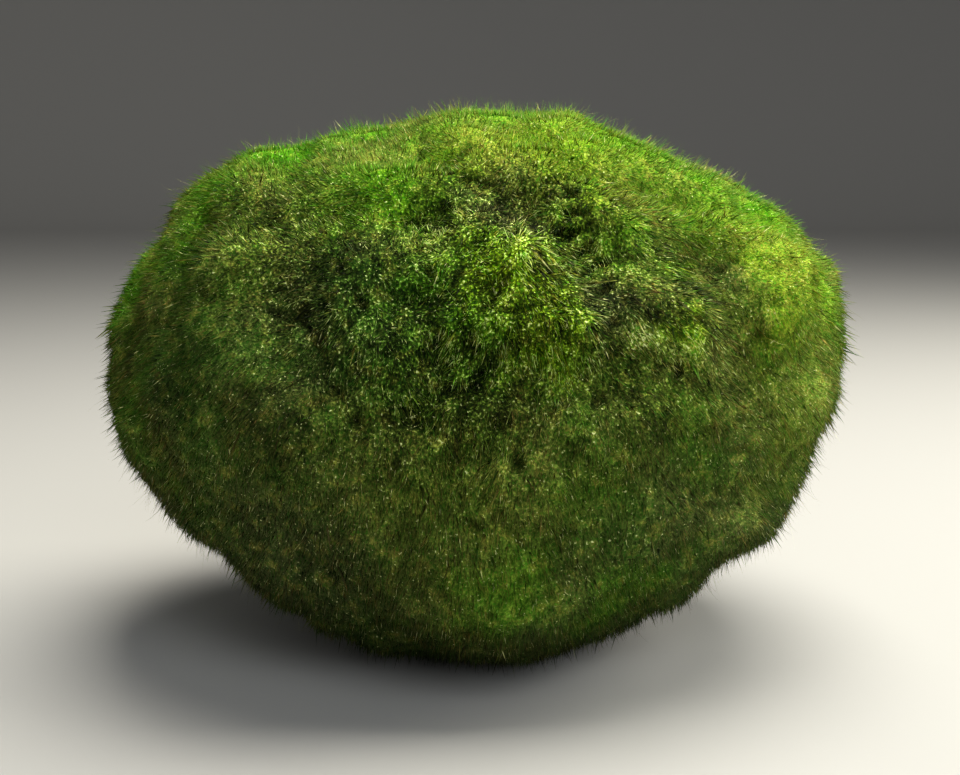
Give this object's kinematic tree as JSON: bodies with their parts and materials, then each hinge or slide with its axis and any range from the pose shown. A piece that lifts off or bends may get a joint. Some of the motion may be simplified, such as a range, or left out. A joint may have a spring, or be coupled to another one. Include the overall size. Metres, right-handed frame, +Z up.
{
  "type": "marimo moss ball",
  "caption": "Marimo moss ball, wider than tall: fine green algae filaments grown in tufts, ledges and hollows, lying on a small flat spot.",
  "frame": {"origin": "on the ground under the middle of the ball's box, in the plane of the flat spot it rests on", "axes": "+X along the ball's longest width, to the viewer's right; +Y away from the viewer; +Z up, its shortest extent"},
  "size_m": [0.0684, 0.0614, 0.0505],
  "materials": {
    "moss": "wet green moss filaments, from bright yellow-green on top to dark green below"
  },
  "bodies": {
    "root": {"moss_ball": "moss"}
  },
  "joints": []
}
